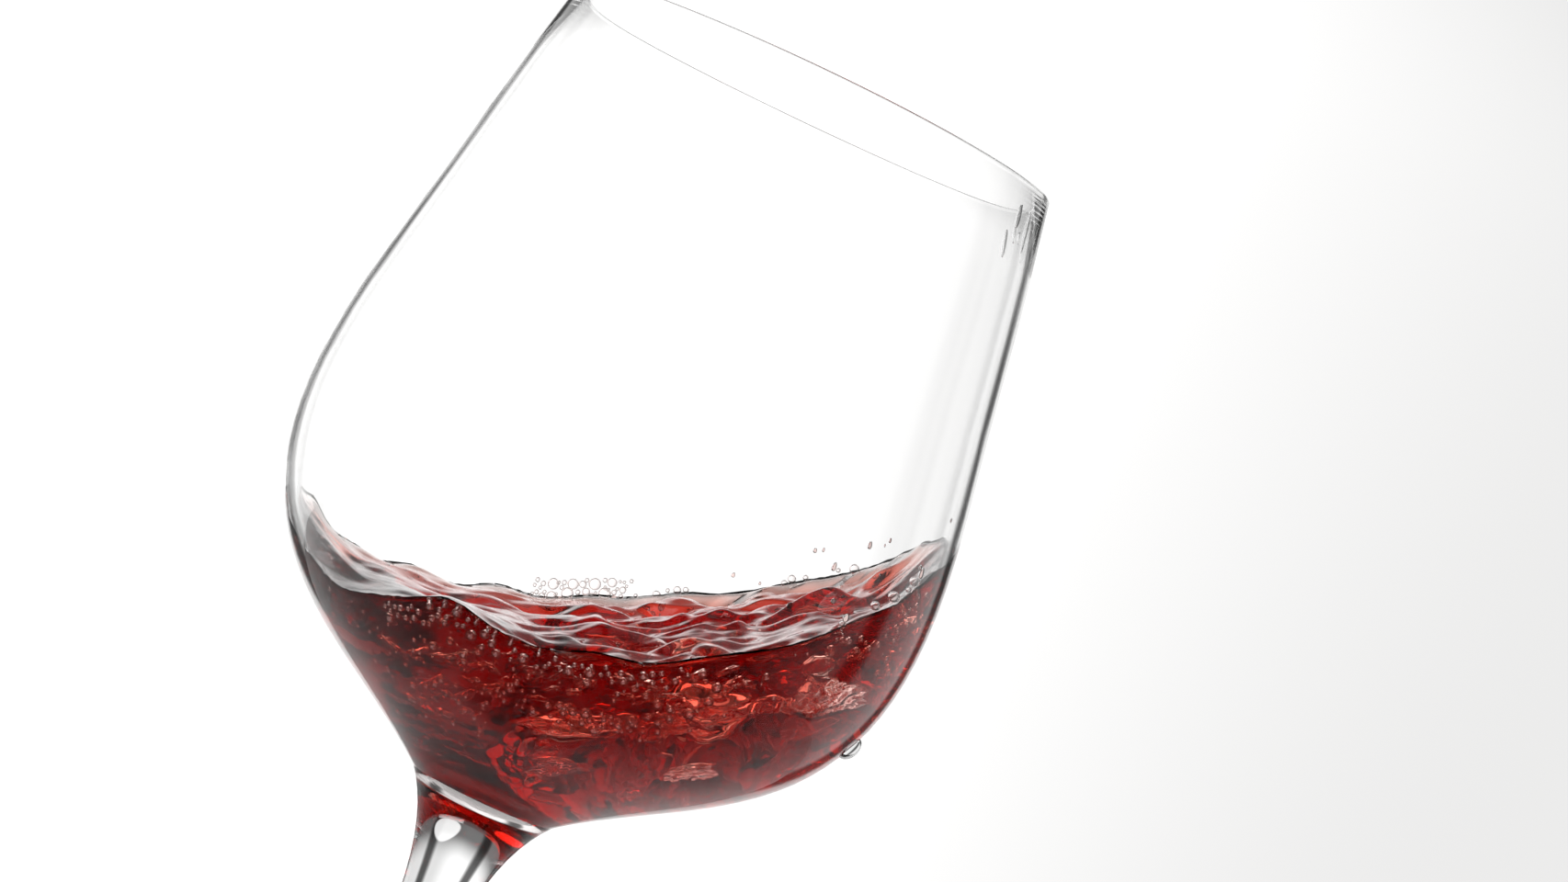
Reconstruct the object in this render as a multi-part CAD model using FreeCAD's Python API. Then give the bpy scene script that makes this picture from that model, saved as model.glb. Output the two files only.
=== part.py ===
"""A stemmed glass of red wine, caught as the wine surges up one side of the bowl.

Millimetres, +Z up. The origin is the middle of the foot's underside, on the table.
The wine runs highest towards +X, and leans a little higher towards +Y than towards -Y.
Heights of the bowl and of the wine are measured up from the joint, where the stem
flares into the bowl.
"""

import FreeCAD
import Part
import math
import os

# Foot: a thin disc that rests on a flat ring, with a shallow hollow inside the ring.
foot_radius = 39.0
foot_edge = 2.0
foot_ring_radius = 26.0
foot_hollow_depth = 1.0
foot_crown = 4.8
foot_crown_radius = 13.0
foot_shoulder = 2.9
foot_shoulder_radius = 26.0

# Stem: slimmest in the middle, with a flare at each end.
stem_height = 111.0
stem_radius = 3.9
foot_flare_length = 6.5
joint_radius = 10.6
joint_flare_length = 8.3
stem_stations = 18

# Bowl, outside: a low cone turns through a knuckle into the belly, and closes to the rim.
bowl_height = 107.0
rim_radius = 35.7
upper_wall_radius = 38.6
upper_wall_height = 92.0
middle_wall_radius = 42.3
middle_wall_height = 71.5
belly_radius = 46.0
belly_height = 43.0
shoulder_radius = 44.3
shoulder_height = 31.2
knuckle_radius = 38.6
knuckle_height = 20.4
cone_radius = 30.0
cone_height = 12.6
lower_cone_radius = 20.0
lower_cone_height = 6.3

# Wall: thin at the rim, thicker down the cone, and a solid floor over the stem.
rim_wall = 1.2
belly_wall = 1.35
cone_wall = 2.0
floor_start_radius = 14.0
floor_start_height = 2.5
wall_stations = 14

# Wine: how deep it stands on the axis, and the surge that tilts, dishes and twists it.
wine_depth = 26.0
surge_slope = 0.33
surge_dish = 0.0055
surge_lean = 0.045
surge_twist = 0.0018
wall_clearance = 0.1

# Wine thrown up the wall: its height there, the radius and width over which it fades
# inwards, and how many degrees it spreads round the wall, at the surge's two ends.
high_climb = 8.0
high_climb_radius = 43.3
high_climb_width = 4.0
high_climb_spread = 38.0
low_climb = 9.5
low_climb_radius = 43.3
low_climb_width = 5.0
low_climb_spread = 22.0

# Waves: a crest and a trough along the near wall, a mound and its ring, and small swells.
crest_height = 3.3
crest_x = -13.0
crest_width = 5.0
trough_depth = 2.2
trough_x = -28.0
trough_width = 6.0
near_wall_y = -36.0
near_wall_reach = 17.0
mound_height = 3.0
mound_x = 30.0
mound_y = 4.0
mound_radius = 5.0
ring_height = 1.2
ring_radius = 10.5
ring_width = 2.6
swell_height = 0.6
swell_length = 15.0
swell_aspect = 1.7
swell_turn = 35.0

# The grid of points that carries the wine's surface.
surface_step = 2.0
surface_margin = 3.0


def point(radius, height):
    """A point of an outline, drawn in the XZ plane."""
    return FreeCAD.Vector(radius, 0.0, height)


def line(start, end):
    """A straight edge."""
    return Part.LineSegment(start, end).toShape()


def curve_through(points):
    """One smooth curve through the points."""
    curve = Part.BSplineCurve()
    curve.interpolate(points)
    return curve


def revolved(edges):
    """The solid that a closed outline sweeps about the glass's axis."""
    face = Part.Face(Part.Wire(edges))
    return face.revolve(FreeCAD.Vector(0, 0, 0), FreeCAD.Vector(0, 0, 1), 360.0)


def stem_outline_radius(height):
    """The stem's radius: its slim waist and what each flare adds."""
    foot_flare = (foot_crown_radius - stem_radius) * math.exp((foot_crown - height) / foot_flare_length)
    joint_flare = (joint_radius - stem_radius) * math.exp((height - stem_height) / joint_flare_length)
    return stem_radius + foot_flare + joint_flare


def stem_curve():
    """The foot's upper face, the stem and its flare up to the joint, as one curve."""
    points = [point(foot_radius - foot_edge / 2.0, foot_edge), point(foot_shoulder_radius, foot_shoulder)]
    for i in range(stem_stations):
        share = i / (stem_stations - 1.0)
        eased = share - math.sin(2 * math.pi * share) / 8.0
        height = foot_crown + (stem_height - foot_crown) * eased
        points.append(point(stem_outline_radius(height), height))
    points[-1] = point(joint_radius, stem_height)
    return curve_through(points)


def bowl_curve():
    """The bowl's outside, from the joint up to where the lip begins."""
    stations = [
        (joint_radius, 0.0),
        (lower_cone_radius, lower_cone_height),
        (cone_radius, cone_height),
        (knuckle_radius, knuckle_height),
        (shoulder_radius, shoulder_height),
        (belly_radius, belly_height),
        (middle_wall_radius, middle_wall_height),
        (upper_wall_radius, upper_wall_height),
        (rim_radius, bowl_height - rim_wall / 2.0),
    ]
    return curve_through([point(radius, stem_height + height) for radius, height in stations])


def wall_at(height):
    """The wall's thickness at a height above the joint."""
    if height >= belly_height:
        share = (height - belly_height) / (bowl_height - belly_height)
        return belly_wall + (rim_wall - belly_wall) * share
    share = (belly_height - height) / belly_height
    return belly_wall + (cone_wall - belly_wall) * share


def inner_curve(outside, clearance):
    """The inside of the wall, drawn in from the outside by its thickness and a clearance."""
    start = outside.parameter(point(floor_start_radius, stem_height + floor_start_height))
    end = outside.LastParameter
    points = []
    for i in range(wall_stations):
        parameter = start + (end - start) * i / (wall_stations - 1.0)
        place = outside.value(parameter)
        along = outside.tangent(parameter)[0]
        inward = FreeCAD.Vector(-along.z, 0.0, along.x)
        points.append(place + inward * (wall_at(place.z - stem_height) + clearance))
    return curve_through(points)


def floor_arc(inside):
    """The bowl's round floor, from the axis to where it meets the cone with no edge."""
    meets = inside.value(inside.FirstParameter)
    along = inside.tangent(inside.FirstParameter)[0]
    slope = math.atan2(along.z, along.x)
    radius = meets.x / math.sin(slope)
    bottom = meets.z - radius * (1.0 - math.cos(slope))
    middle = point(radius * math.sin(slope / 2.0), bottom + radius * (1.0 - math.cos(slope / 2.0)))
    return Part.Arc(point(0.0, bottom), middle, meets)


def lip_edge(outside, inside):
    """The rounded lip that joins the outside to the inside at the rim."""
    outer_end = outside.value(outside.LastParameter)
    inner_end = inside.value(inside.LastParameter)
    top = FreeCAD.Vector((outer_end.x + inner_end.x) / 2.0, 0.0, stem_height + bowl_height)
    return Part.Arc(outer_end, top, inner_end).toShape()


def foot_edges():
    """The underside and rounded edge of the foot, from the axis outwards."""
    half = foot_edge / 2.0
    hollow_middle = point(0.0, foot_hollow_depth)
    ring_inside = point(foot_ring_radius, 0.0)
    ring_outside = point(foot_radius - half, 0.0)
    hollow = Part.Arc(hollow_middle, point(foot_ring_radius / 2.0, foot_hollow_depth * 0.75), ring_inside)
    edge = Part.Arc(ring_outside, point(foot_radius, half), point(foot_radius - half, foot_edge))
    return [hollow.toShape(), line(ring_inside, ring_outside), edge.toShape()]


def make_glass():
    """Foot, stem and bowl, blown and drawn as one piece of glass."""
    outside = bowl_curve()
    inside = inner_curve(outside, 0.0)
    floor = floor_arc(inside)
    edges = foot_edges()
    edges.append(stem_curve().toShape())
    edges.append(outside.toShape())
    edges.append(lip_edge(outside, inside))
    edges.append(inside.toShape())
    edges.append(floor.toShape())
    edges.append(line(floor.StartPoint, point(0.0, foot_hollow_depth)))
    return revolved(edges)


def bell(distance, width):
    """A smooth bump of height 1 that fades over a width."""
    return math.exp(-((distance / width) ** 2))


def high_side_climb(x, y):
    """Wine thrown up the wall towards +X, fading round the wall and in from it."""
    turn = math.degrees(math.atan2(y, x))
    gap = max(high_climb_radius - math.hypot(x, y), 0.0)
    return high_climb * bell(turn, high_climb_spread) * math.exp(-gap / high_climb_width)


def low_side_climb(x, y):
    """The same towards -X, where the wine swung first."""
    turn = math.degrees(math.atan2(y, -x))
    gap = max(low_climb_radius - math.hypot(x, y), 0.0)
    return low_climb * bell(turn, low_climb_spread) * math.exp(-gap / low_climb_width)


def crest(x, y):
    """The smooth crest that rolls in from the near wall, and the trough beside it."""
    wave = crest_height * bell(x - crest_x, crest_width) - trough_depth * bell(x - trough_x, trough_width)
    return wave * bell(y - near_wall_y, near_wall_reach)


def mound(x, y):
    """The mound where the wine fell in, with one ring round it."""
    distance = math.hypot(x - mound_x, y - mound_y)
    return mound_height * bell(distance, mound_radius) + ring_height * bell(distance - ring_radius, ring_width)


def swell(x, y):
    """Small swells that cross at an angle."""
    turn = math.radians(swell_turn)
    along = x * math.cos(turn) + y * math.sin(turn)
    across = y * math.cos(turn) - x * math.sin(turn)
    wave = math.sin(2 * math.pi * along / swell_length)
    return swell_height * wave * math.cos(2 * math.pi * across / (swell_length * swell_aspect))


def wine_height(x, y):
    """The wine's height above the joint at a place over the table."""
    surge = wine_depth + surge_slope * x + surge_dish * x * x + (surge_lean + surge_twist * x) * y
    thrown = high_side_climb(x, y) + low_side_climb(x, y)
    return surge + thrown + crest(x, y) + mound(x, y) + swell(x, y)


def under_surface():
    """Everything under the wine's surface, as a block that is wider than the bowl."""
    half = belly_radius + surface_margin
    count = int(math.ceil(2 * half / surface_step)) + 1
    rows = []
    for i in range(count):
        x = -half + 2 * half * i / (count - 1)
        row = []
        for j in range(count):
            y = -half + 2 * half * j / (count - 1)
            row.append(FreeCAD.Vector(x, y, stem_height + wine_height(x, y)))
        rows.append(row)
    surface = Part.BSplineSurface()
    surface.interpolate(rows)
    return surface.toShape().extrude(FreeCAD.Vector(0, 0, -(stem_height + bowl_height)))


def make_wine():
    """The wine: the inside of the bowl, less a hair's clearance, up to the surging surface."""
    inside = inner_curve(bowl_curve(), wall_clearance)
    floor = floor_arc(inside)
    brim = inside.value(inside.LastParameter)
    brim_middle = point(0.0, brim.z)
    axis_line = line(brim_middle, floor.StartPoint)
    bowl_full = revolved([floor.toShape(), inside.toShape(), line(brim, brim_middle), axis_line])
    return bowl_full.common(under_surface()).Solids[0]


def main():
    os.makedirs("parts", exist_ok=True)
    make_glass().exportStep("parts/wine_glass.step")
    make_wine().exportStep("parts/red_wine.step")


main()
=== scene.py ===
"""The looks of the glass of red wine: clear glass, deep red wine with its bubbles, foam and drops."""

import bisect
import math
import random

import bmesh
import bpy
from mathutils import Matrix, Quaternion, Vector, noise
from mathutils.bvhtree import BVHTree


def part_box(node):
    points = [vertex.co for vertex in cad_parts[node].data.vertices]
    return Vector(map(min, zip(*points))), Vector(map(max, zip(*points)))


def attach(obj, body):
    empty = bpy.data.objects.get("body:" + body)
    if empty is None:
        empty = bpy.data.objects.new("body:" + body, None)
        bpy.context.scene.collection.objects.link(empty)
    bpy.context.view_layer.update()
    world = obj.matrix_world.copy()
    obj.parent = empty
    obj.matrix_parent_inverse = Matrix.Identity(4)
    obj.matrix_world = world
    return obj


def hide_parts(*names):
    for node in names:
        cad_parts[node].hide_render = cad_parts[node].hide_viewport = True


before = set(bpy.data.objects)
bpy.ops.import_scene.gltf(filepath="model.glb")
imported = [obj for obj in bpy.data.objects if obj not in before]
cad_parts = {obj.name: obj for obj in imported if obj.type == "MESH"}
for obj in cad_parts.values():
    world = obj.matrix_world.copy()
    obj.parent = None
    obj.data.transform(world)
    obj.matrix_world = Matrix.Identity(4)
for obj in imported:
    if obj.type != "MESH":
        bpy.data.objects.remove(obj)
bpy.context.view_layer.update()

MM = 0.001
GLASS_NODE = "wine_glass"
WINE_NODE = "red_wine"
BODY = "root"

# How finely the glass is turned, and the angle from which a fold in it is a crease.
GLASS_TURNS = 256
GLASS_CREASE = math.radians(14.0)
# How finely the wine is meshed: turns round the axis, steps up the wall and steps across the surface.
WINE_TURNS = 288
WALL_STEPS = 46
SURFACE_STEPS = 110
# How much closer together the surface's steps are at the wall, and how near the wall its waves die away.
SURFACE_CROWDING = 1.5
EDGE_CALM = 1.5 * MM
# The wine reaches this far into the wall, so that no air shows between them.
INTO_WALL = 0.12 * MM

# Refraction: crown glass, wine, the air of a bubble in wine, and water.
GLASS_IOR = 1.5
WINE_IOR = 1.34
BUBBLE_IOR = 1.0 / WINE_IOR
WATER_IOR = 1.33
# What glass and wine take away with depth: the colour that is left, and how strongly.
GLASS_ABSORBED = (0.05, 0.08, 0.08, 1)
GLASS_DENSITY = 8.0
WINE_ABSORBED = (0.9, 0.3, 0.16, 1)
WINE_DENSITY = 290.0
# How much glass and wine reflect when seen face on, next to real ones, which would haze the wine over here.
GLASS_GLEAM = 0.06
WINE_GLEAM = 0.05
# The clear coat that gives the bubbles their bright points.
AIR_COAT_IOR = 1.9

# The slow swells of the glass and of the wine: how many to a metre, and how deep they are.
GLASS_SWELLS = 45.0
GLASS_SWELL_DEPTH = 0.05 * MM
WINE_SWELLS = 330.0
WINE_SWELL_DEPTH = 0.06 * MM
SWELL_DETAIL = 2.0

# The view: how far away and how high the eye is, what it looks at, how far the head is tilted,
# and the lens.
EYE_DISTANCE = 0.569
EYE_HEIGHT = 0.1645
AIM_X = 0.0166
AIM_HEIGHT = 0.1727
EYE_ROLL = math.radians(25.3)
LENS = 95.0
SENSOR_WIDTH = 36.0
NEAREST = 0.01
FARTHEST = 100.0

# How often light may be bent or thrown back on its way through the glass and the wine.
BOUNCES = 24
GLOSSY_BOUNCES = 12
TRANSPARENT_BOUNCES = 8


# ---------------------------------------------------------------- measuring the frame

def tree_of(node):
    """A search tree over a CAD node's faces."""
    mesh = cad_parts[node].data
    points = [vertex.co.copy() for vertex in mesh.vertices]
    return BVHTree.FromPolygons(points, [tuple(face.vertices) for face in mesh.polygons])


GLASS_TREE = tree_of(GLASS_NODE)
WINE_TREE = tree_of(WINE_NODE)
GLASS_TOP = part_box(GLASS_NODE)[1].z
WINE_LOW, WINE_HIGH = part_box(WINE_NODE)
# A height well above everything, from which the wine's surface is sought.
SKY = GLASS_TOP + 50 * MM
# Two points closer than this are the same point, and this many digits tell points apart.
SAME = 1e-7
DIGITS = 7


def seam_points(mesh):
    """The points of a turned mesh that lie on its seam, as (radius, height), by their index."""
    found = {}
    for vertex in mesh.vertices:
        if abs(vertex.co.y) < SAME and vertex.co.x > -SAME:
            found[vertex.index] = (round(vertex.co.x, DIGITS), round(vertex.co.z, DIGITS))
    return found


def seam_outline(node):
    """The outline that a round CAD node was turned from, as points (radius, height).

    It runs from the middle of the underside, up the outside and back down the inside to the axis.
    """
    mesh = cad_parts[node].data
    on_seam = seam_points(mesh)
    joined = {}
    for edge in mesh.edges:
        ends = [on_seam.get(index) for index in edge.vertices]
        if None in ends or ends[0] == ends[1]:
            continue
        joined.setdefault(ends[0], set()).add(ends[1])
        joined.setdefault(ends[1], set()).add(ends[0])
    here = min(place for place in joined if place[0] < SAME)
    outline = [here]
    seen = {here}
    while True:
        ahead = [place for place in joined[here] if place not in seen]
        if not ahead:
            return outline
        here = min(ahead, key=lambda place: math.dist(place, outline[-1]))
        outline.append(here)
        seen.add(here)


def floor_height(radius):
    """The height of the bowl's inside under a place at this radius."""
    hit = GLASS_TREE.ray_cast(Vector((radius, 0.0, WINE_HIGH.z)), Vector((0, 0, -1)))[0]
    return hit.z


def wall_radius(height):
    """The radius of the bowl's inside at this height."""
    hit = GLASS_TREE.ray_cast(Vector((0.0, 0.0, height)), Vector((1, 0, 0)))[0]
    return hit.x


# The bowl's inside is measured from above at this many whole millimetres of radius, the first one just
# off the axis, and from there on from the axis, in steps of height that end this far under the rim.
FLOOR_RADII = 37
OFF_AXIS = 0.01
HEIGHT_STEP = 0.5 * MM
UNDER_RIM = 1.2 * MM


def inner_outline():
    """Points (radius, height) up the inside of the bowl, from the axis to just under the rim."""
    points = []
    for radius in range(FLOOR_RADII):
        points.append((radius * MM, floor_height(max(radius, OFF_AXIS) * MM)))
    height = points[-1][1]
    while height < GLASS_TOP - UNDER_RIM:
        height += HEIGHT_STEP
        points.append((wall_radius(height), height))
    return points


def outline_length(points):
    """The running length along an outline, one number for each point."""
    lengths = [0.0]
    for (r0, z0), (r1, z1) in zip(points, points[1:]):
        lengths.append(lengths[-1] + math.hypot(r1 - r0, z1 - z0))
    return lengths


OUTLINE = inner_outline()
LENGTHS = outline_length(OUTLINE)
HEIGHTS = [height for _, height in OUTLINE]
# Half the length over which the wall's direction is measured.
OUTWARD_STEP = 0.3 * MM


def outline_at(length):
    """The point (radius, height) at a running length up the inside of the bowl."""
    index = min(max(bisect.bisect(LENGTHS, length), 1), len(LENGTHS) - 1)
    share = (length - LENGTHS[index - 1]) / (LENGTHS[index] - LENGTHS[index - 1])
    r0, z0 = OUTLINE[index - 1]
    r1, z1 = OUTLINE[index]
    return r0 + (r1 - r0) * share, z0 + (z1 - z0) * share


def outline_outward(length):
    """The direction (radius, height) that points squarely into the wall at a running length."""
    r0, z0 = outline_at(max(length - OUTWARD_STEP, 0.0))
    r1, z1 = outline_at(min(length + OUTWARD_STEP, LENGTHS[-1]))
    run = math.hypot(r1 - r0, z1 - z0)
    return (z1 - z0) / run, -(r1 - r0) / run


def on_wall(angle, length, gap):
    """The place that lies this far in from the bowl's inside, at an angle and a running length."""
    radius, height = outline_at(length)
    out, up = outline_outward(length)
    radius -= out * gap
    return Vector((radius * math.cos(angle), radius * math.sin(angle), height - up * gap))


def wine_top(x, y):
    """The place on the wine's CAD surface over or under a place, or None where there is no wine."""
    return WINE_TREE.ray_cast(Vector((x, y, SKY)), Vector((0, 0, -1)))[0]


# The CAD's wine stops just short of the wall, so its surface is measured this far in.
MEASURED_IN = 0.2 * MM
# The wine wets the wall as long as its surface there lies at most this far below.
MENISCUS = 0.25 * MM
# The running length that the wine covers at every angle, and the steps in which its edge is sought.
LEAST_WET = 20.0 * MM
WET_STEP = 0.2 * MM


def contact_length(angle):
    """How far up the wall the wine reaches at an angle round the axis."""
    length = LEAST_WET
    while length < LENGTHS[-1]:
        radius, height = outline_at(length)
        radius -= MEASURED_IN
        hit = wine_top(radius * math.cos(angle), radius * math.sin(angle))
        if hit is None or hit.z < height - MENISCUS:
            break
        length += WET_STEP
    return length


def radius_inside(height):
    """The radius of the bowl's inside at a height, read off the measured outline."""
    index = bisect.bisect(HEIGHTS, height)
    if index in (0, len(HEIGHTS)):
        return 0.0
    (r0, z0), (r1, z1) = OUTLINE[index - 1], OUTLINE[index]
    return r0 + (r1 - r0) * (height - z0) / (z1 - z0)


def wall_gap(place):
    """How far a place in the bowl lies from the wall, measured squarely to it."""
    index = min(max(bisect.bisect(HEIGHTS, place.z), 1), len(HEIGHTS) - 1)
    out, _ = outline_outward(LENGTHS[index])
    return (radius_inside(place.z) - math.hypot(place.x, place.y)) * out


# ---------------------------------------------------------------- the wine's surface

# The waves: how many to a millimetre along x and y, and the layer of noise, for each kind of wave.
BROAD_WAVES = (0.12, 0.1, 3.1)
FINE_WAVES = (0.3, 0.24, 7.7)
FOLDS = (0.17, 0.13, 1.9)
# How high the waves stand, in millimetres: broad and fine ones, and the folds' crests where it is churned.
CALM_BROAD = 0.8
CALM_FINE = 0.25
CHURNED_BROAD = 1.9
CHURNED_FINE = 0.7
CHURNED_CREST = 0.9
CREST_WIDTH = 0.12
CREST_LEVEL = 0.5
# The wine is calm to the left of this place on x, and fully churned this much further on, in millimetres.
CALM_UNTIL = -14.0
CHURN_SPAN = 30.0
# The room that fully churned waves need above what floats in the wine.
WAVE_ROOM = 0.5 * MM


def turbulence_at(x):
    """How churned the wine is: 0 at the low side, 1 where it surges up the wall."""
    return min(max((x / MM - CALM_UNTIL) / CHURN_SPAN, 0.0), 1.0)


def waves(place, kind):
    """The height of one kind of wave at a place on the surface."""
    return noise.noise(Vector((place.x * kind[0], place.y * kind[1], kind[2])))


def ripple(x, y):
    """How high the surface stands above the CAD's at a place, from its small waves."""
    place = Vector((x, y, 0.0)) / MM
    broad = waves(place, BROAD_WAVES)
    fine = waves(place, FINE_WAVES)
    crest = 1.0 - 2.0 * math.hypot(waves(place, FOLDS), CREST_WIDTH)
    calm = CALM_BROAD * broad + CALM_FINE * fine
    churned = CHURNED_BROAD * broad + CHURNED_FINE * fine + CHURNED_CREST * (crest - CREST_LEVEL)
    turbulence = turbulence_at(x)
    return MM * (calm * (1.0 - turbulence) + churned * turbulence)


def fits_in_wine(centre, size, room):
    """True if a ball of this radius lies within the wine, clear of the wall and the surface."""
    if wall_gap(centre) < size + room:
        return False
    for across, along in ((0, 0), (1, 0), (-1, 0), (0, 1), (0, -1)):
        hit = wine_top(centre.x + across * size, centre.y + along * size)
        if hit is None or centre.z + size + room + WAVE_ROOM * turbulence_at(centre.x) > hit.z:
            return False
    return True


def inside_wine(place, room):
    """True if a place lies in the wine with at least this much of it to the wall and above."""
    if wall_gap(place) < room:
        return False
    hit = wine_top(place.x, place.y)
    return hit is not None and place.z + room < hit.z


# ---------------------------------------------------------------- making pieces

def piece_from(name, points, faces, material):
    """A piece of the object, made of points and faces, which rides on the glass."""
    mesh = bpy.data.meshes.new(name)
    mesh.from_pydata(points, [], faces)
    mesh.validate()
    mesh.polygons.foreach_set("use_smooth", [True] * len(mesh.polygons))
    mesh.materials.append(material)
    piece = bpy.data.objects.new(name, mesh)
    bpy.context.scene.collection.objects.link(piece)
    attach(piece, BODY)
    return piece


def ring_faces(turns, count):
    """The faces of a closed round solid: this many turns of so many points each, and then its two poles."""
    pole = turns * count
    faces = []
    for turn in range(turns):
        here = turn * count
        there = (turn + 1) % turns * count
        faces.append((pole, there, here))
        for step in range(count - 1):
            faces.append((here + step, there + step, there + step + 1, here + step + 1))
        faces.append((here + count - 1, there + count - 1, pole + 1))
    return faces


def make_glass(material):
    """The glass, turned finely from its CAD outline, so that it bends light smoothly."""
    outline = seam_outline(GLASS_NODE)
    between = outline[1:-1]
    points = []
    for turn in range(GLASS_TURNS):
        angle = 2 * math.pi * turn / GLASS_TURNS
        cosine, sine = math.cos(angle), math.sin(angle)
        points.extend((radius * cosine, radius * sine, height) for radius, height in between)
    points.append((0.0, 0.0, outline[0][1]))
    points.append((0.0, 0.0, outline[-1][1]))
    faces = ring_faces(GLASS_TURNS, len(between))
    piece = piece_from("glass", points, faces, material)
    piece.data.set_sharp_from_angle(angle=GLASS_CREASE)
    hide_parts(GLASS_NODE)


def wall_points(angle, reach):
    """The wine's points up the wall at one angle, just inside the glass."""
    return [on_wall(angle, reach * step / WALL_STEPS, -INTO_WALL) for step in range(1, WALL_STEPS + 1)]


def surface_points(angle, reach):
    """The wine's points across its rippled surface at one angle, from the wall to near the axis."""
    cosine, sine = math.cos(angle), math.sin(angle)
    edge_radius, edge_height = outline_at(reach)
    points = []
    for step in range(1, SURFACE_STEPS):
        radius = edge_radius * (1.0 - (step / SURFACE_STEPS) ** SURFACE_CROWDING)
        measured = min(radius, edge_radius - 2 * MEASURED_IN)
        hit = wine_top(measured * cosine, measured * sine)
        height = edge_height if hit is None else hit.z
        settle = 1.0 - math.exp(-(edge_radius - radius) / EDGE_CALM)
        x, y = radius * cosine, radius * sine
        points.append((x, y, height + ripple(x, y) * settle))
    return points


def make_wine(material):
    """The wine, from the wall to its rippled surface, with the air dragged under as hollows."""
    points = []
    for turn in range(WINE_TURNS):
        angle = 2 * math.pi * turn / WINE_TURNS
        reach = contact_length(angle)
        points.extend(wall_points(angle, reach))
        points.extend(surface_points(angle, reach))
    points.append((0.0, 0.0, outline_at(0.0)[1] - INTO_WALL))
    points.append((0.0, 0.0, wine_top(0.0, 0.0).z + ripple(0.0, 0.0)))
    faces = ring_faces(WINE_TURNS, WALL_STEPS + SURFACE_STEPS - 1)
    add_pockets(points, faces)
    piece = piece_from("wine", points, faces, material)
    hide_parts(WINE_NODE)


# ---------------------------------------------------------------- balls and bubbles

# How finely balls are meshed: small bubbles, larger ones, drops and hollows, and the plume's hearts.
SMALL_LEVEL = 2
MIDDLE_LEVEL = 3
FINE_LEVEL = 4
FINEST_LEVEL = 5


def ball(level):
    """The points and faces of a unit ball made of triangles."""
    shape = bmesh.new()
    bmesh.ops.create_icosphere(shape, subdivisions=level, radius=1.0)
    points = [vertex.co.copy() for vertex in shape.verts]
    faces = [tuple(vertex.index for vertex in face.verts) for face in shape.faces]
    shape.free()
    return points, faces


BALLS = {level: ball(level) for level in (SMALL_LEVEL, MIDDLE_LEVEL, FINE_LEVEL, FINEST_LEVEL)}


def add_ball_faces(level, first, faces, flipped=False):
    """Adds the faces of a ball whose points start at a place in the list, facing out or flipped."""
    for face in BALLS[level][1]:
        order = reversed(face) if flipped else face
        faces.append(tuple(first + index for index in order))


def add_ball(centre, size, level, points, faces, flipped=False):
    """Adds a ball to lists of points and faces."""
    add_ball_faces(level, len(points), faces, flipped)
    points.extend(centre + point * size for point in BALLS[level][0])


# The wine left between a bubble and the wall or the surface, and between two bubbles.
BUBBLE_ROOM = 0.06 * MM
BUBBLE_SPACING = 0.05 * MM
# Bubbles larger than this are meshed more finely.
LARGE_BUBBLE = 0.45 * MM
# How strongly small bubbles outnumber large ones, and how many places are tried for each.
SMALL_BIAS = 1.8
BUBBLE_TRIES = 6
BUBBLE_SEED = 7
# Nothing in the wine is placed nearer than this to the bottom, measured along the wall.
LEAST_LENGTH = 2.0 * MM
# Groups of bubbles: how many, the angles they lie between, how far under the edge along the wall,
# how far in from the wall, and their radii, in degrees and millimetres.
BUBBLE_GROUPS = [
    (36, (-126.0, -98.0), (0.9, 4.5), (0.0, 0.3), (0.4, 0.9)),
    (34, (-96.0, -64.0), (1.2, 4.5), (0.0, 0.3), (0.35, 0.85)),
    (90, (-128.0, -60.0), (5.0, 24.0), (0.0, 3.0), (0.2, 0.75)),
    (60, (-100.0, -60.0), (11.0, 20.0), (0.0, 1.5), (0.35, 1.0)),
    (80, (-62.0, -8.0), (2.0, 22.0), (0.0, 3.0), (0.15, 0.9)),
    (50, (-175.0, -125.0), (2.0, 20.0), (0.0, 2.0), (0.12, 0.45)),
    (60, (30.0, 150.0), (1.0, 14.0), (0.0, 4.0), (0.15, 0.7)),
    (60, (-180.0, 180.0), (4.0, 30.0), (1.0, 12.0), (0.15, 0.6)),
]


def wine_place(chance, angles, depth, gaps):
    """A random place in the wine, within ranges of angle, depth under the edge and gap to the wall."""
    angle = math.radians(chance.uniform(*angles))
    down = chance.uniform(*depth) * MM
    length = max(contact_length(angle) - down, LEAST_LENGTH)
    return on_wall(angle, length, chance.uniform(*gaps) * MM)


def scatter(chance, group, taken):
    """Balls strewn in one part of the wine, clear of each other. Small ones are the most common."""
    count, angles, depth, gaps, sizes = group
    made = 0
    for _ in range(count * BUBBLE_TRIES):
        if made >= count:
            break
        share = chance.random() ** SMALL_BIAS
        size = (sizes[0] + (sizes[1] - sizes[0]) * share) * MM
        away = size / MM + BUBBLE_ROOM / MM
        centre = wine_place(chance, angles, depth, (gaps[0] + away, gaps[1] + away))
        if in_plume(centre) or not fits_in_wine(centre, size, BUBBLE_ROOM):
            continue
        if any((centre - other).length < size + reach + BUBBLE_SPACING for other, reach in taken):
            continue
        taken.append((centre, size))
        made += 1


def make_bubbles(material):
    """Air bubbles in the wine: rows under the edge, and looser groups lower down and all round."""
    chance = random.Random(BUBBLE_SEED)
    taken = []
    for group in BUBBLE_GROUPS:
        scatter(chance, group, taken)
    points, faces = [], []
    for centre, size in taken:
        level = MIDDLE_LEVEL if size > LARGE_BUBBLE else SMALL_LEVEL
        add_ball(centre, size, level, points, faces)
    piece_from("bubbles", points, faces, material)


# ---------------------------------------------------------------- the air dragged under

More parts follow.
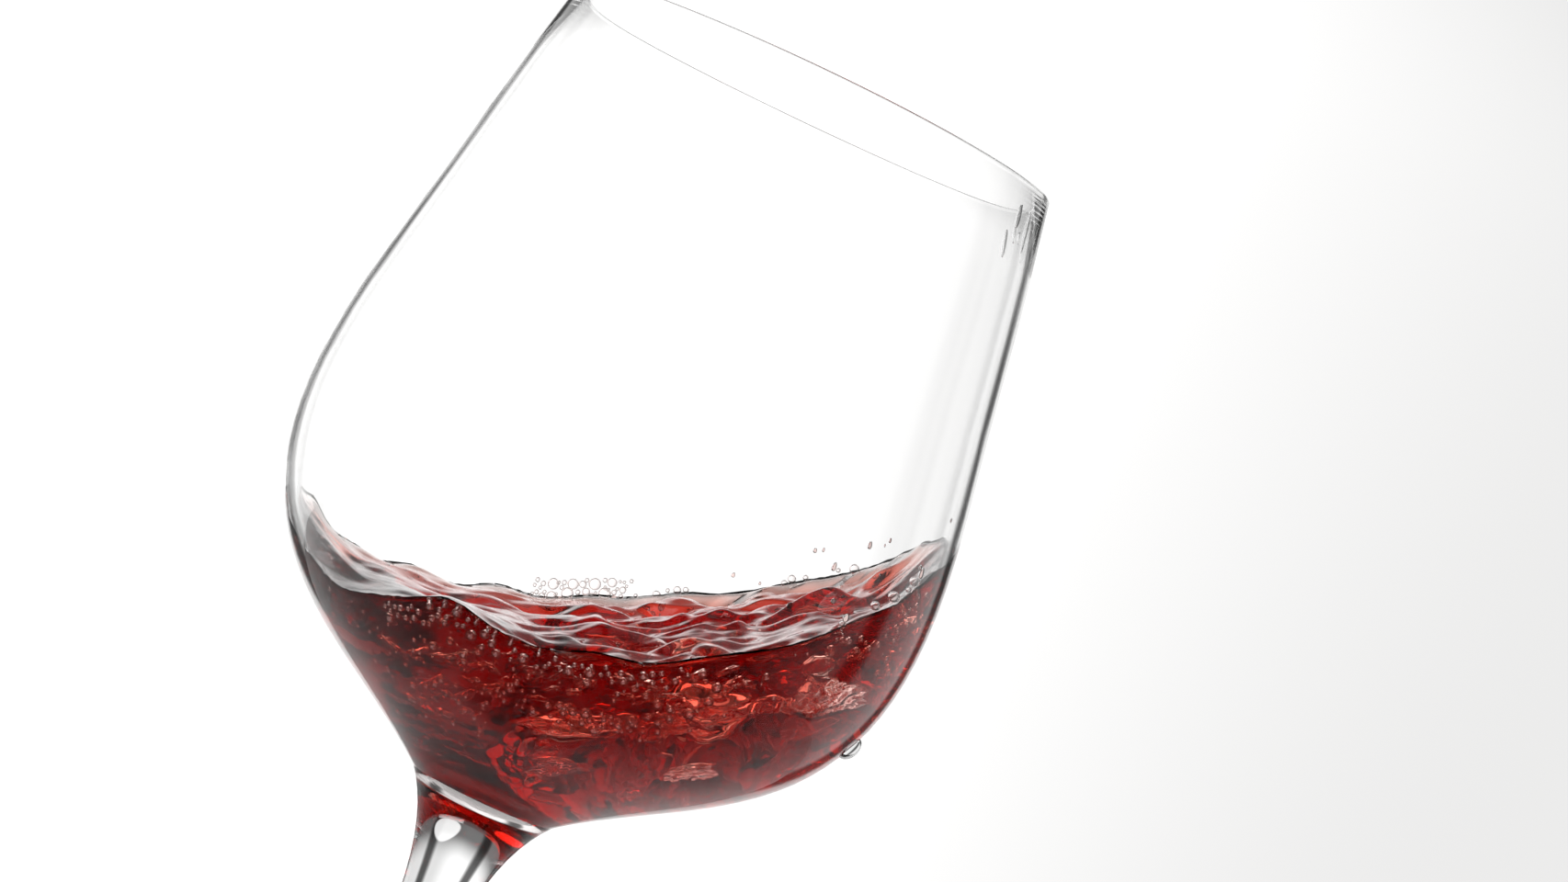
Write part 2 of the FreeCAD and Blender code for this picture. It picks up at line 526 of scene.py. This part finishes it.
# The wine left between a pocket and the wall or the surface, and the steps in which a pocket's points
# are drawn in for it.
POCKET_ROOM = 0.5 * MM
SETTLE_STEP = 0.04
SETTLE_LEAST = 0.1
# How a pocket is torn: how fine the noise is and its share, from broad to fine, and the reach of the
# random shift that makes each pocket different.
TEARS = ((1.4, 0.7), (3.1, 0.3), (6.1, 0.08))
SHIFT = 90.0
# A deep pocket: how square its ends are, and how deep and how fine their waves are.
DEEP_POWER = 6.0
DEEP_WAVE = 0.022
DEEP_WAVE_FINENESS = 4.0
POCKET_SEED = 21
# The plume's middle line, in millimetres from the lowest of the wine; how many pockets it holds; how
# far they stray from that line up or down and across the glass; and their half sizes along it, across
# the glass and up.
PLUME_START = (2.0, 0.0, 15.0)
PLUME_END = (36.0, 0.0, 34.0)
PLUME_COUNT = 26
PLUME_TRIES = 4000
PLUME_SPREAD = 2.6
PLUME_REACH = 19.0
PLUME_SIZES = ((1.8, 4.2), (5.0, 11.0), (1.0, 2.3))
# Bubbles and small pockets keep this far from the plume's middle line.
PLUME_EDGE = 5.5
# How near each other the plume's pockets lie, as a share of their sizes; how far they are turned off
# the line, in degrees; and how torn they are.
PLUME_CLOSENESS = 0.8
PLUME_TURN = 12.0
PLUME_ROUGH = 0.7
# The large torn hollows at the plume's heart: their middles and half sizes, and how torn they are.
PLUME_HEARTS = [
    ((6.8, -1.0, 17.4), (7.2, 27.5, 3.1)),
    ((20.3, 0.0, 25.2), (8.2, 27.0, 5.2)),
    ((34.1, 0.0, 33.1), (5.6, 26.0, 3.4)),
    ((23.0, 1.0, 17.6), (5.4, 24.0, 2.0)),
]
HEART_ROUGH = 0.6
# Small pockets: how many places are tried for each, their width and depth next to length and width,
# how near each other and how near the edge of the wine they lie, their tilts in degrees, and how torn
# they are.
POCKET_TRIES = 12
POCKET_WIDTHS = (0.35, 0.7)
POCKET_DEPTHS = (0.5, 0.9)
POCKET_CLOSENESS = 0.8
POCKET_FIT = 0.8
POCKET_TILTS = (-10.0, 60.0)
POCKET_ROUGH = 1.0
# Groups of small pockets, in the same terms as the bubbles; the sizes are half lengths.
POCKET_GROUPS = [
    (34, (-130.0, -85.0), (5.0, 24.0), (1.0, 6.0), (0.7, 2.2)),
    (30, (-95.0, -50.0), (4.0, 22.0), (1.0, 7.0), (0.7, 2.4)),
    (16, (-50.0, 0.0), (8.0, 24.0), (1.0, 7.0), (0.7, 2.2)),
    (16, (40.0, 150.0), (6.0, 24.0), (1.5, 8.0), (0.8, 2.4)),
]


def in_plume(place):
    """True if a place lies in the plume of torn air, or close to it."""
    start, end = Vector(PLUME_START) * MM, Vector(PLUME_END) * MM
    flat = Vector((place.x, 0.0, place.z - WINE_LOW.z))
    along = end - start
    share = min(max((flat - start).dot(along) / along.length_squared, 0.0), 1.0)
    near = (flat - start - along * share).length < PLUME_EDGE * MM
    return near and abs(place.y) < (PLUME_REACH + PLUME_SIZES[1][1]) * MM


def torn(point, shift, rough):
    """How far a point of a pocket's unit ball is pushed in or out, so that the pocket looks torn."""
    push = 0.0
    for fineness, share in TEARS:
        push += share * noise.noise(point * fineness + shift)
    return 1.0 + rough * push


def settled(centre, place, room):
    """A place drawn in towards a pocket's centre until it has wine all round it."""
    share = 1.0
    while share > SETTLE_LEAST and not inside_wine(centre + (place - centre) * share, room):
        share -= SETTLE_STEP
    return centre + (place - centre) * share


def drawn_deep(point, swell, shift):
    """A point of a pocket's unit ball drawn out to a block, and the wave of its end across the glass."""
    across = math.hypot(point.x, point.z)
    reach = (across ** DEEP_POWER + abs(point.y) ** DEEP_POWER) ** (1.0 / DEEP_POWER)
    block = point * swell / reach
    wave = (1.0 + DEEP_WAVE * noise.noise(point * DEEP_WAVE_FINENESS + shift)) / swell
    return block, wave


def pocket(chance, centre, half, tilt, rough, level, points, faces, deep=False):
    """One torn pocket of air, drawn out along the flow, as a hollow in the wine.

    A deep pocket keeps its outline right across the glass, so that light comes straight through it.
    """
    turn = Quaternion(Vector((0, 1, 0)), -tilt)
    shift = Vector((chance.uniform(0, SHIFT), chance.uniform(0, SHIFT), chance.uniform(0, SHIFT)))
    add_ball_faces(level, len(points), faces, flipped=True)
    for point in BALLS[level][0]:
        swell = torn(point, shift, rough)
        block, wave = drawn_deep(point, swell, shift) if deep else (point * swell, 1.0)
        shaped = Vector((block.x * half[0], block.y * wave * half[1], block.z * half[2]))
        points.append(settled(centre, centre + turn @ shaped, POCKET_ROOM))


def plume_place(chance, start, end, slope):
    """A random place in the plume: along its middle line, a little above or below, and across the glass."""
    along = chance.random()
    aside = chance.gauss(0.0, PLUME_SPREAD) * MM
    across = chance.uniform(-1, 1) * PLUME_REACH * MM
    centre = start.lerp(end, along)
    centre += Vector((-math.sin(slope) * aside, across, math.cos(slope) * aside))
    centre.z += WINE_LOW.z
    return centre


def crowded(centre, half, taken):
    """True if a plume pocket would lie too near one that is there already."""
    for other, size in taken:
        apart = centre - other
        if math.hypot(*(apart[axis] / (half[axis] + size[axis]) for axis in range(3))) < PLUME_CLOSENESS:
            return True
    return False


def add_plume(chance, points, faces):
    """The band of torn air under the place where the wine fell in: large hearts, and pockets about them."""
    start, end = Vector(PLUME_START) * MM, Vector(PLUME_END) * MM
    slope = math.atan2(end.z - start.z, end.x - start.x)
    taken = []
    for place, sizes in PLUME_HEARTS:
        centre = Vector(place) * MM + Vector((0, 0, WINE_LOW.z))
        half = Vector(sizes) * MM
        taken.append((centre, half))
        pocket(chance, centre, half, slope, HEART_ROUGH, FINEST_LEVEL, points, faces, deep=True)
    for _ in range(PLUME_TRIES):
        if len(taken) >= PLUME_COUNT:
            break
        centre = plume_place(chance, start, end, slope)
        half = Vector([chance.uniform(*sizes) * MM for sizes in PLUME_SIZES])
        if not fits_in_wine(centre, half.z, POCKET_ROOM) or crowded(centre, half, taken):
            continue
        taken.append((centre, half))
        tilt = slope + math.radians(chance.uniform(-PLUME_TURN, PLUME_TURN))
        pocket(chance, centre, half, tilt, PLUME_ROUGH, FINE_LEVEL, points, faces, deep=True)


def touches(centre, size, taken, closeness):
    """True if something of this size would come too near to what is there already."""
    return any((centre - other).length < (size + reach) * closeness for other, reach in taken)


def strew_pockets(chance, group, taken, points, faces):
    """Small pockets strewn in one part of the wine, clear of each other and of the plume."""
    count, angles, depth, gaps, sizes = group
    made = 0
    for _ in range(count * POCKET_TRIES):
        if made >= count:
            break
        length = chance.uniform(*sizes) * MM
        width = length * chance.uniform(*POCKET_WIDTHS)
        centre = wine_place(chance, angles, depth, gaps)
        if in_plume(centre) or not fits_in_wine(centre, width * POCKET_FIT, POCKET_ROOM):
            continue
        if touches(centre, length, taken, POCKET_CLOSENESS):
            continue
        taken.append((centre, length))
        half = (length, width, width * chance.uniform(*POCKET_DEPTHS))
        tilt = math.radians(chance.uniform(*POCKET_TILTS))
        pocket(chance, centre, half, tilt, POCKET_ROUGH, MIDDLE_LEVEL, points, faces)
        made += 1


def add_pockets(points, faces):
    """The hollows that the falling wine has dragged under: a dense plume, and small ones strewn about."""
    chance = random.Random(POCKET_SEED)
    add_plume(chance, points, faces)
    taken = []
    for group in POCKET_GROUPS:
        strew_pockets(chance, group, taken, points, faces)


# ---------------------------------------------------------------- foam, drops and streaks

# The foam: the skin of its bubbles, how far in from the wall they sit and how near each other, next to
# their sizes, and how many places are tried for each.
FOAM_SKIN = 0.15 * MM
FOAM_SEAT = 0.92
FOAM_CLOSENESS = 0.96
FOAM_TRIES = 40
FOAM_SEED = 5
# Groups of foam bubbles: how many, the angles they lie between, how far above the edge, and their radii,
# in degrees and millimetres.
FOAM_GROUPS = [
    (14, (86.0, 98.0), (-0.2, 2.2), (0.6, 1.0)),
    (34, (83.0, 101.0), (-0.3, 2.6), (0.3, 0.6)),
    (5, (72.0, 82.0), (-0.3, 0.6), (0.3, 0.7)),
    (5, (38.0, 62.0), (-0.3, 0.6), (0.35, 0.75)),
    (5, (-42.0, -24.0), (-0.2, 1.4), (0.3, 0.8)),
]


def make_foam(material):
    """A patch of clear bubbles at the far wall, and a few that stand alone along the edge."""
    chance = random.Random(FOAM_SEED)
    points, faces = [], []
    taken = []
    for count, angles, rise, sizes in FOAM_GROUPS:
        made = 0
        for _ in range(count * FOAM_TRIES):
            if made >= count:
                break
            angle = math.radians(chance.uniform(*angles))
            size = chance.uniform(*sizes) * MM
            length = contact_length(angle) + chance.uniform(*rise) * MM
            centre = on_wall(angle, length, size * FOAM_SEAT)
            if touches(centre, size, taken, FOAM_CLOSENESS):
                continue
            taken.append((centre, size))
            add_ball(centre, size, MIDDLE_LEVEL, points, faces)
            add_ball(centre, size - FOAM_SKIN, MIDDLE_LEVEL, points, faces, flipped=True)
            made += 1
    piece_from("foam", points, faces, material)


# A drop reaches this far into the glass, and is this much narrower at its top and wider at its foot.
DROP_ROOT = -0.1 * MM
DROP_TAPER = 0.35
# The wall's thickness where a drip hangs on the outside.
WALL_AT_DRIP = 1.45 * MM


def bead(angle, length, half, points, faces, outside=False):
    """A drop that clings to the bowl, with its half sizes up the wall, round it and off it."""
    out, up = outline_outward(length)
    base = on_wall(angle, length, 0.0)
    outward = Vector((out * math.cos(angle), out * math.sin(angle), up))
    around = Vector((-math.sin(angle), math.cos(angle), 0.0))
    climb = around.cross(outward)
    side = -1
    if outside:
        base += outward * WALL_AT_DRIP
        side = 1
    add_ball_faces(FINE_LEVEL, len(points), faces, flipped=not outside)
    for point in BALLS[FINE_LEVEL][0]:
        narrow = 1.0 - DROP_TAPER * point.z
        lift = max(point.y, DROP_ROOT / half[2])
        place = base + climb * (-point.z * half[0]) + around * (point.x * half[1] * narrow)
        points.append(place + outward * (side * lift * half[2]))


# Drops above the wine's edge: how many, the angles they lie between, their sizes, how far above the edge
# they lie, and how long and how thick they are next to their size; in degrees and millimetres.
DROP_COUNT = 16
DROP_ANGLES = ((-60.0, -10.0), (30.0, 75.0))
DROP_SIZES = (0.2, 0.55)
DROP_RISE = (1.0, 7.0)
DROP_STRETCH = (1.0, 1.5)
DROP_THICKNESS = 0.6
DROP_SEED = 12
# The drip on the outside: its angle, how far it lies below the wine's edge, and its half sizes.
DRIP_ANGLE = math.radians(-6.0)
DRIP_BELOW_EDGE = 30.5 * MM
DRIP_HALF = (1.9 * MM, 1.2 * MM, 1.3 * MM)


def make_drops(material):
    """Drops of wine thrown up on the bowl's inside, and the drip that runs down its outside."""
    chance = random.Random(DROP_SEED)
    points, faces = [], []
    for _ in range(DROP_COUNT):
        angle = math.radians(chance.choice([chance.uniform(*angles) for angles in DROP_ANGLES]))
        size = chance.uniform(*DROP_SIZES) * MM
        length = contact_length(angle) + chance.uniform(*DROP_RISE) * MM
        half = (size * chance.uniform(*DROP_STRETCH), size, size * DROP_THICKNESS)
        bead(angle, length, half, points, faces)
    drip = contact_length(DRIP_ANGLE) - DRIP_BELOW_EDGE
    bead(DRIP_ANGLE, drip, DRIP_HALF, points, faces, outside=True)
    piece_from("drops", points, faces, material)


# The wet streaks: the angle of each, and their half lengths, distances under the rim, widths and thickness
# next to their width, in degrees and millimetres.
STREAK_ANGLES = (-27.0, -21.0, -16.0, -12.5, -8.0, -3.0, 3.0, 9.0, 14.0, 20.0)
STREAK_HALF_LENGTHS = (0.9, 4.2)
STREAK_UNDER_RIM = (1.2, 3.5)
STREAK_WIDTHS = (0.35, 0.7)
STREAK_THICKNESS = 0.7
STREAK_SEED = 3


def make_streaks(material):
    """Clear wet streaks that hang inside the bowl, just under its rim on the right."""
    chance = random.Random(STREAK_SEED)
    points, faces = [], []
    for degrees in STREAK_ANGLES:
        half_length = chance.uniform(*STREAK_HALF_LENGTHS) * MM
        top = LENGTHS[-1] - chance.uniform(*STREAK_UNDER_RIM) * MM
        width = chance.uniform(*STREAK_WIDTHS) * MM
        half = (half_length, width, width * STREAK_THICKNESS)
        bead(math.radians(degrees), top - half_length, half, points, faces)
    piece_from("wet_streaks", points, faces, material)


# ---------------------------------------------------------------- materials

def new_material(name):
    """An empty node material and its Principled shader."""
    material = bpy.data.materials.new(name)
    material.use_nodes = True
    shader = material.node_tree.nodes["Principled BSDF"]
    return material, shader


def clear_material(name, ior, gleam=1.0, absorbed=None, density=0.0):
    """A clear stuff that bends light, takes some away with depth and gives back a little at its face."""
    material, shader = new_material(name)
    shader.inputs["Base Color"].default_value = (1, 1, 1, 1)
    shader.inputs["Roughness"].default_value = 0.0
    shader.inputs["IOR"].default_value = ior
    shader.inputs["Transmission Weight"].default_value = 1.0
    shader.inputs["Specular Tint"].default_value = (gleam, gleam, gleam, 1)
    if absorbed:
        tree = material.node_tree
        depth = tree.nodes.new("ShaderNodeVolumeAbsorption")
        depth.inputs["Color"].default_value = absorbed
        depth.inputs["Density"].default_value = density
        tree.links.new(depth.outputs["Volume"], tree.nodes["Material Output"].inputs["Volume"])
    return material


def uneven(material, scale, depth):
    """Gives a material's face slow swells, as blown glass and moving wine have."""
    tree = material.node_tree
    place = tree.nodes.new("ShaderNodeTexCoord")
    swells = tree.nodes.new("ShaderNodeTexNoise")
    swells.inputs["Scale"].default_value = scale
    swells.inputs["Detail"].default_value = SWELL_DETAIL
    relief = tree.nodes.new("ShaderNodeBump")
    relief.inputs["Distance"].default_value = depth
    tree.links.new(place.outputs["Object"], swells.inputs["Vector"])
    tree.links.new(swells.outputs["Fac"], relief.inputs["Height"])
    tree.links.new(relief.outputs["Normal"], tree.nodes["Principled BSDF"].inputs["Normal"])


def air_material():
    """The air of a bubble in the wine, with a coat for its bright points."""
    material = clear_material("air_look", BUBBLE_IOR)
    shader = material.node_tree.nodes["Principled BSDF"]
    shader.inputs["Coat Weight"].default_value = 1.0
    shader.inputs["Coat IOR"].default_value = AIR_COAT_IOR
    return material


# ---------------------------------------------------------------- stage, light and camera

# The surround: how many white panels it has, and how bright are the gaps between them, the ceiling,
# what lies below, and its left and right sides.
PANELS = 8
GAP_LEVEL = 0.12
CEILING_LEVEL = 0.16
GROUND_LEVEL = 0.3
SIDE_LEVELS = (1.28, 0.84)
# Where each of these fades into the next: along the panels' wave, and along the z and x of the direction.
GAP_FADE = (-0.97, -0.5)
CEILING_FADE = (0.14, 0.4)
GROUND_FADE = (-0.62, -0.3)
SIDE_FADE = (-0.1, 0.2)
# Soft lights: the way they lie, their half width in degrees, and how bright they are.
SOFT_LIGHTS = [
    ((-0.5, 0.2, 1.0), 22.0, 2.4),
    ((0.6, -0.5, 0.9), 12.0, 3.0),
    ((-0.3, -1.0, 0.5), 7.0, 9.0),
    ((0.25, 1.0, 0.5), 11.0, 0.9),
]
# The share of a soft light over which it fades, and the colour of all the light.
SOFT_EDGE = 0.25
LIGHT_COLOUR = (1, 0.997, 0.993, 1)


def math_node(tree, kind, first, second=0.0):
    """Does a sum with one or two numbers or node outputs."""
    node = tree.nodes.new("ShaderNodeMath")
    node.operation = kind
    for socket, value in zip(node.inputs, (first, second)):
        if isinstance(value, (int, float)):
            socket.default_value = value
        else:
            tree.links.new(value, socket)
    return node.outputs[0]


def eased(tree, value, fade, levels):
    """A number that turns smoothly from one level to the other as a value crosses a range."""
    node = tree.nodes.new("ShaderNodeMapRange")
    node.interpolation_type = "SMOOTHSTEP"
    tree.links.new(value, node.inputs["Value"])
    for name, number in zip(("From Min", "From Max", "To Min", "To Max"), (*fade, *levels)):
        node.inputs[name].default_value = number
    return node.outputs[0]


def soft_light(tree, direction, towards, size, strength):
    """How bright a soft round light is along each direction."""
    aim = tree.nodes.new("ShaderNodeVectorMath")
    aim.operation = "DOT_PRODUCT"
    tree.links.new(direction, aim.inputs[0])
    aim.inputs[1].default_value = Vector(towards).normalized()
    edge = math.cos(math.radians(size))
    return eased(tree, aim.outputs["Value"], (edge, edge + (1.0 - edge) * SOFT_EDGE), (0.0, strength))


def brightness(tree):
    """How bright the surround is: panels and gaps, dimmed above and below, with the soft lights added."""
    direction = tree.nodes.new("ShaderNodeTexCoord").outputs["Generated"]
    split = tree.nodes.new("ShaderNodeSeparateXYZ")
    tree.links.new(direction, split.inputs[0])
    turn = math_node(tree, "ARCTAN2", split.outputs["X"], split.outputs["Y"])
    wave = math_node(tree, "COSINE", math_node(tree, "MULTIPLY", turn, PANELS))
    total = eased(tree, wave, GAP_FADE, (GAP_LEVEL, 1.0))
    for axis, fade, levels in (
        ("Z", CEILING_FADE, (1.0, CEILING_LEVEL)),
        ("Z", GROUND_FADE, (GROUND_LEVEL, 1.0)),
        ("X", SIDE_FADE, SIDE_LEVELS),
    ):
        total = math_node(tree, "MULTIPLY", total, eased(tree, split.outputs[axis], fade, levels))
    for light in SOFT_LIGHTS:
        total = math_node(tree, "ADD", total, soft_light(tree, direction, *light))
    return total


def make_world():
    """A ring of white panels with darker gaps between them, a dark ceiling and some soft lights."""
    world = bpy.data.worlds.new("studio")
    bpy.context.scene.world = world
    world.use_nodes = True
    tree = world.node_tree
    tree.nodes.clear()
    out = tree.nodes.new("ShaderNodeOutputWorld")
    back = tree.nodes.new("ShaderNodeBackground")
    back.inputs["Color"].default_value = LIGHT_COLOUR
    tree.links.new(back.outputs[0], out.inputs[0])
    tree.links.new(brightness(tree), back.inputs["Strength"])


# The table: its sides and radius, how far it lies under the foot so that the two faces don't fight, its
# shades, greyer at the middle as a painted shadow and pale further out, and the distances between which the
# one fades into the other.
TABLE_SIDES = 256
TABLE_RADIUS = 0.34
TABLE_DROP = 0.4 * MM
TABLE_SHADOW_SHADES = (0.66, 0.95)
TABLE_SHADOW_FADE = (0.05, 0.24)
TABLE_ROUGHNESS = 0.8


def make_floor():
    """A pale round table with a soft shadow painted on it: greyer in its middle, round the glass's foot."""
    bpy.ops.mesh.primitive_circle_add(vertices=TABLE_SIDES, radius=TABLE_RADIUS, fill_type="NGON")
    floor = bpy.context.active_object
    floor.name = "floor"
    material, shader = new_material("floor_painted_shadow")
    tree = material.node_tree
    place = tree.nodes.new("ShaderNodeTexCoord")
    away = tree.nodes.new("ShaderNodeVectorMath")
    away.operation = "LENGTH"
    tree.links.new(place.outputs["Object"], away.inputs[0])
    # Painted shadow: the table is painted greyer near the glass's foot and paler further out, as a soft
    # shadow would fall.
    painted_shadow = eased(tree, away.outputs["Value"], TABLE_SHADOW_FADE, TABLE_SHADOW_SHADES)
    tree.links.new(painted_shadow, shader.inputs["Base Color"])
    shader.inputs["Roughness"].default_value = TABLE_ROUGHNESS
    floor.data.materials.append(material)
    floor.location.z = -TABLE_DROP


def make_camera():
    """The eye, level with the bowl, with the head tilted so that the glass leans."""
    data = bpy.data.cameras.new("eye")
    data.sensor_width = SENSOR_WIDTH
    data.lens = LENS
    data.clip_start = NEAREST
    data.clip_end = FARTHEST
    camera = bpy.data.objects.new("eye", data)
    bpy.context.scene.collection.objects.link(camera)
    camera.location = (AIM_X, -EYE_DISTANCE, EYE_HEIGHT)
    forward = (Vector((AIM_X, 0.0, AIM_HEIGHT)) - camera.location).normalized()
    level = forward.to_track_quat("-Z", "Y")
    camera.rotation_mode = "QUATERNION"
    camera.rotation_quaternion = Quaternion(forward, -EYE_ROLL) @ level
    bpy.context.scene.camera = camera


# ---------------------------------------------------------------- the scene

glass_look = clear_material("clear_glass_look", GLASS_IOR, GLASS_GLEAM, GLASS_ABSORBED, GLASS_DENSITY)
uneven(glass_look, GLASS_SWELLS, GLASS_SWELL_DEPTH)
make_glass(glass_look)

wine_look = clear_material("red_wine_look", WINE_IOR, WINE_GLEAM, WINE_ABSORBED, WINE_DENSITY)
uneven(wine_look, WINE_SWELLS, WINE_SWELL_DEPTH)
make_wine(wine_look)
make_drops(wine_look)
make_bubbles(air_material())
make_foam(wine_look)
make_streaks(clear_material("water_look", WATER_IOR))

make_world()
make_floor()
make_camera()

bpy.context.scene.view_settings.view_transform = "Standard"
cycles = bpy.context.scene.cycles
cycles.max_bounces = BOUNCES
cycles.transmission_bounces = BOUNCES
cycles.glossy_bounces = GLOSSY_BOUNCES
cycles.transparent_max_bounces = TRANSPARENT_BOUNCES
